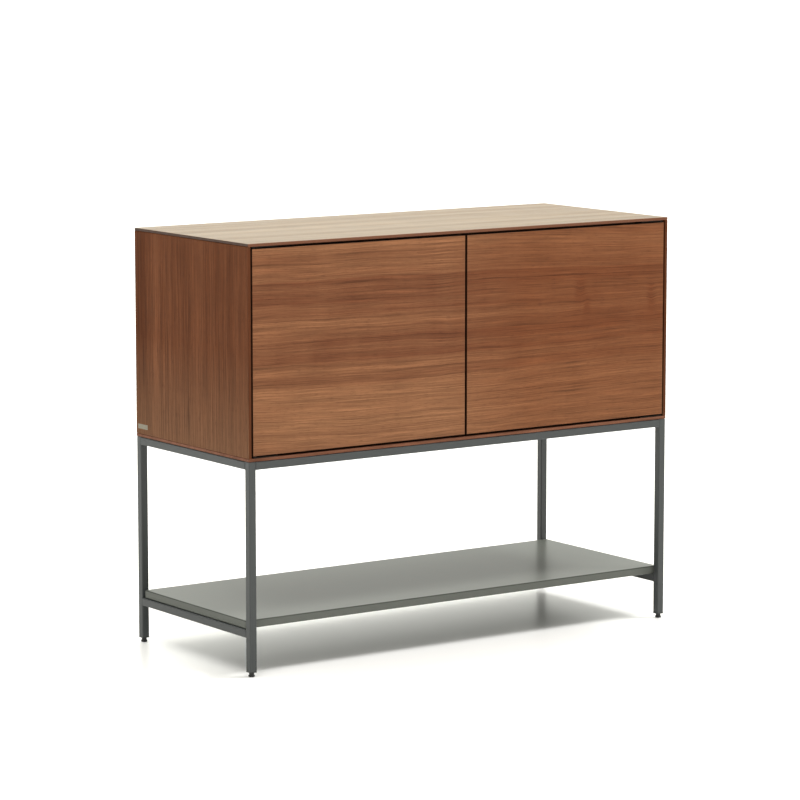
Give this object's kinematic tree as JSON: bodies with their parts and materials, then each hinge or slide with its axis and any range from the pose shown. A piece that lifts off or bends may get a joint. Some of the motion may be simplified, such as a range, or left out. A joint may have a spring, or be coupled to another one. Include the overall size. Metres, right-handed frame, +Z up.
{
  "type": "sideboard",
  "caption": "Slim two-door walnut sideboard on a square-tube steel frame with levelling feet and a folded steel shelf below the cabinet; doors hang on pivot hinges with push latches.",
  "frame": {"origin": "on the floor, under the middle of the cabinet", "axes": "+X to the right along the front as the user faces it, +Y from the front to the back, +Z up"},
  "size_m": [0.975, 0.4, 0.8],
  "materials": {
    "top_veneer": "open-pored light walnut veneer, satin lacquer, grain along the length",
    "side_veneer": "walnut veneer, upright grain, satin lacquer",
    "base_veneer": "walnut veneer, level grain, satin lacquer",
    "door_veneer": "walnut veneer, level grain running across both doors, satin lacquer",
    "inner_veneer": "plain walnut veneer inside, matt lacquer",
    "beech": "ribbed beech dowel",
    "frame_coat": "dark grey-green powder coat, fine satin",
    "shelf_coat": "sage grey powder coat, satin",
    "plate_metal": "bare satin metal plate",
    "latch_plastic": "dark grey moulded plastic",
    "black_steel": "black zinc plate on screws and pivot hinges",
    "bright_steel": "zinc-plated steel",
    "black_plastic": "black moulded plastic"
  },
  "bodies": {
    "root": {"back_panel": "inner_veneer", "back_screws": "bright_steel", "bottom_liner": "inner_veneer", "bottom_panel": "base_veneer", "bracket_screws": "bright_steel", "carcass_dowels": "beech", "centre_divider": "inner_veneer", "frame_screws": "black_steel", "frame_tabs": "frame_coat", "inner_shelf_left": "inner_veneer", "inner_shelf_right": "inner_veneer", "latch_housings": "latch_plastic", "latch_screws": "bright_steel", "latch_springs": "bright_steel", "leg_back_left": "frame_coat", "leg_back_right": "frame_coat", "leg_front_left": "frame_coat", "leg_front_right": "frame_coat", "leg_plugs": "black_plastic", "lower_rail_left": "frame_coat", "lower_rail_right": "frame_coat", "lower_shelf": "shelf_coat", "name_plate": "plate_metal", "pivot_brackets": "black_steel", "pivot_pins": "black_steel", "pivot_washers": "black_steel", "shelf_bolts": "black_steel", "shelf_nuts": "bright_steel", "shelf_pins": "bright_steel", "shelf_tabs": "frame_coat", "side_liner_left": "inner_veneer", "side_liner_right": "inner_veneer", "side_panel_left": "side_veneer", "side_panel_right": "side_veneer", "top_liner": "inner_veneer", "top_panel": "top_veneer", "top_rail_back": "frame_coat", "top_rail_front": "frame_coat", "top_rail_left": "frame_coat", "top_rail_right": "frame_coat"},
    "door_left": {"door_left": "door_veneer", "pivot_leaves_left": "black_steel", "leaf_screws_left": "bright_steel", "strike_plate_left": "bright_steel", "strike_screw_left": "bright_steel"},
    "plunger_left": {"latch_plunger_left": "latch_plastic"},
    "door_right": {"door_right": "door_veneer", "pivot_leaves_right": "black_steel", "leaf_screws_right": "bright_steel", "strike_plate_right": "bright_steel", "strike_screw_right": "bright_steel"},
    "plunger_right": {"latch_plunger_right": "latch_plastic"},
    "foot_front_left": {"foot_pad_front_left": "black_plastic", "foot_stud_front_left": "bright_steel"},
    "foot_front_right": {"foot_pad_front_right": "black_plastic", "foot_stud_front_right": "bright_steel"},
    "foot_back_left": {"foot_pad_back_left": "black_plastic", "foot_stud_back_left": "bright_steel"},
    "foot_back_right": {"foot_pad_back_right": "black_plastic", "foot_stud_back_right": "bright_steel"}
  },
  "joints": [
    {"name": "door_left_swing", "type": "hinge", "parent": "root", "child": "door_left", "pos_m": [-0.474, -0.1955, 0.6], "axis": [0, 0, -1], "range_deg": [0, 105]},
    {"name": "door_right_swing", "type": "hinge", "parent": "root", "child": "door_right", "pos_m": [0.474, -0.1955, 0.6], "axis": [0, 0, 1], "range_deg": [0, 105]},
    {"name": "latch_left_press", "type": "slide", "parent": "root", "child": "plunger_left", "axis": [0, 1, 0], "range_m": [0, 0.003], "stiffness_N_per_m": 300, "springref_m": -0.004},
    {"name": "latch_right_press", "type": "slide", "parent": "root", "child": "plunger_right", "axis": [0, 1, 0], "range_m": [0, 0.003], "stiffness_N_per_m": 300, "springref_m": -0.004},
    {"name": "foot_front_left_level", "type": "slide", "parent": "root", "child": "foot_front_left", "axis": [0, 0, 1], "range_m": [-0.01, 0]},
    {"name": "foot_front_right_level", "type": "slide", "parent": "root", "child": "foot_front_right", "axis": [0, 0, 1], "range_m": [-0.01, 0]},
    {"name": "foot_back_left_level", "type": "slide", "parent": "root", "child": "foot_back_left", "axis": [0, 0, 1], "range_m": [-0.01, 0]},
    {"name": "foot_back_right_level", "type": "slide", "parent": "root", "child": "foot_back_right", "axis": [0, 0, 1], "range_m": [-0.01, 0]}
  ]
}
